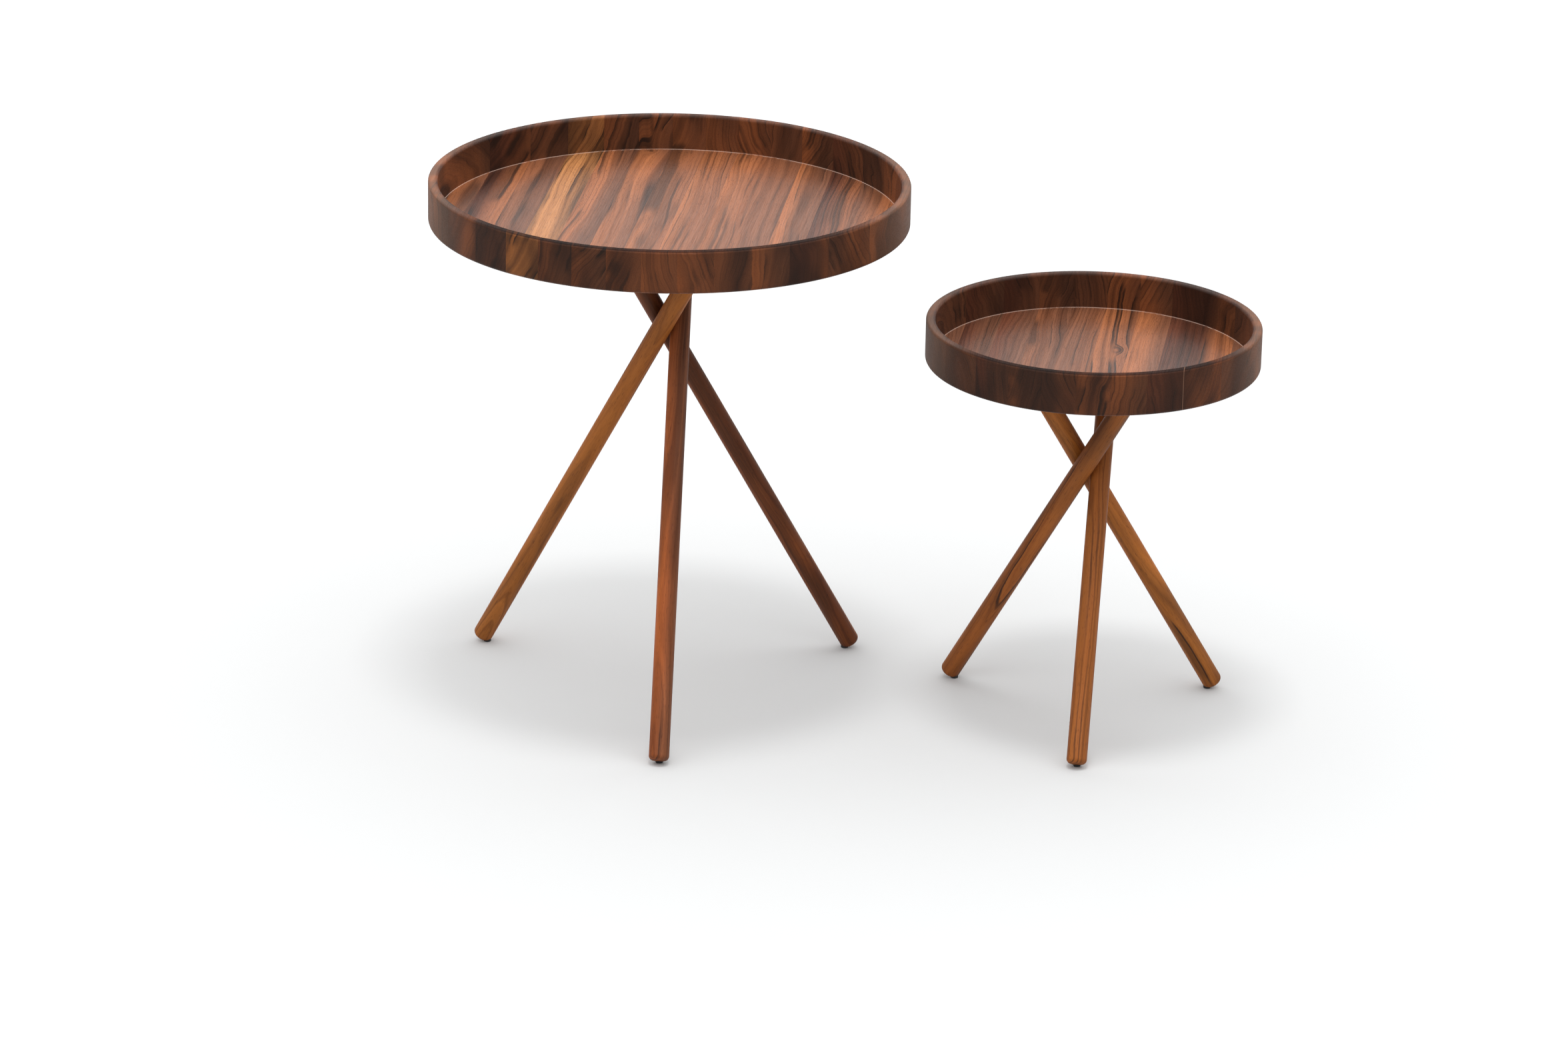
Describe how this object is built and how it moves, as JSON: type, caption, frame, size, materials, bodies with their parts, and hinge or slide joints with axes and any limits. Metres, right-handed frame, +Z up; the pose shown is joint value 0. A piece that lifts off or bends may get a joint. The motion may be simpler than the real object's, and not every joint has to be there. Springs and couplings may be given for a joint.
{
  "type": "nesting tables",
  "caption": "Round solid-wood tray side tables on crossed dowel legs; the small one slides part of the way under the large one.",
  "frame": {"origin": "on the floor, under the middle of the box that holds both tables in the pulled-out position", "axes": "+Z up; +X from the large table to the small one; -Y is the side on which the front legs stand"},
  "size_m": [0.8584, 0.496, 0.555],
  "materials": {
    "plank_gold": "satin lacquer on solid wood, straight grain with dark streaks",
    "plank_orange": "satin lacquer on solid wood, straight grain with dark streaks",
    "plank_russet": "satin lacquer on solid wood, straight grain with dark streaks",
    "plank_brown": "satin lacquer on solid wood, straight grain with dark streaks",
    "plank_umber": "satin lacquer on solid wood, straight grain with dark streaks",
    "leg_gold": "satin lacquer on a turned dowel, grain along its length",
    "leg_orange": "satin lacquer on a turned dowel, grain along its length",
    "leg_russet": "satin lacquer on a turned dowel, grain along its length",
    "leg_umber": "satin lacquer on a turned dowel, grain along its length",
    "plate_wood": "satin lacquer, plain hardwood",
    "pin_wood": "plain beech",
    "glide_plastic": "matt black moulded plastic",
    "screw_steel": "zinc-plated steel"
  },
  "bodies": {
    "large_table": {"large_tray_plank_01": "plank_orange", "large_tray_plank_02": "plank_brown", "large_tray_plank_03": "plank_russet", "large_tray_plank_04": "plank_orange", "large_tray_plank_05": "plank_gold", "large_tray_plank_06": "plank_russet", "large_tray_plank_07": "plank_brown", "large_tray_plank_08": "plank_russet", "large_tray_plank_09": "plank_orange", "large_tray_plank_10": "plank_brown", "large_tray_plank_11": "plank_orange", "large_tray_plank_12": "plank_umber", "large_tray_plank_13": "plank_russet", "large_tray_plank_14": "plank_orange", "large_front_leg": "leg_russet", "large_right_leg": "leg_umber", "large_left_leg": "leg_orange", "large_front_glide": "glide_plastic", "large_right_glide": "glide_plastic", "large_left_glide": "glide_plastic", "large_leg_plate": "plate_wood", "large_plate_screws": "screw_steel", "large_leg_lock_screws": "screw_steel", "large_crossing_pins": "pin_wood", "large_glide_nails": "screw_steel"},
    "small_table": {"small_tray_plank_01": "plank_umber", "small_tray_plank_02": "plank_umber", "small_tray_plank_03": "plank_brown", "small_tray_plank_04": "plank_russet", "small_tray_plank_05": "plank_brown", "small_tray_plank_06": "plank_orange", "small_tray_plank_07": "plank_orange", "small_tray_plank_08": "plank_umber", "small_tray_plank_09": "plank_russet", "small_tray_plank_10": "plank_brown", "small_front_leg": "leg_orange", "small_right_leg": "leg_orange", "small_left_leg": "leg_gold", "small_front_glide": "glide_plastic", "small_right_glide": "glide_plastic", "small_left_glide": "glide_plastic", "small_leg_plate": "plate_wood", "small_plate_screws": "screw_steel", "small_leg_lock_screws": "screw_steel", "small_crossing_pins": "pin_wood", "small_glide_nails": "screw_steel"}
  },
  "joints": [
    {"name": "nesting_slide", "type": "slide", "parent": "large_table", "child": "small_table", "axis": [-0.9922, 0.1246, 0], "range_m": [-0.15, 0.235]}
  ]
}
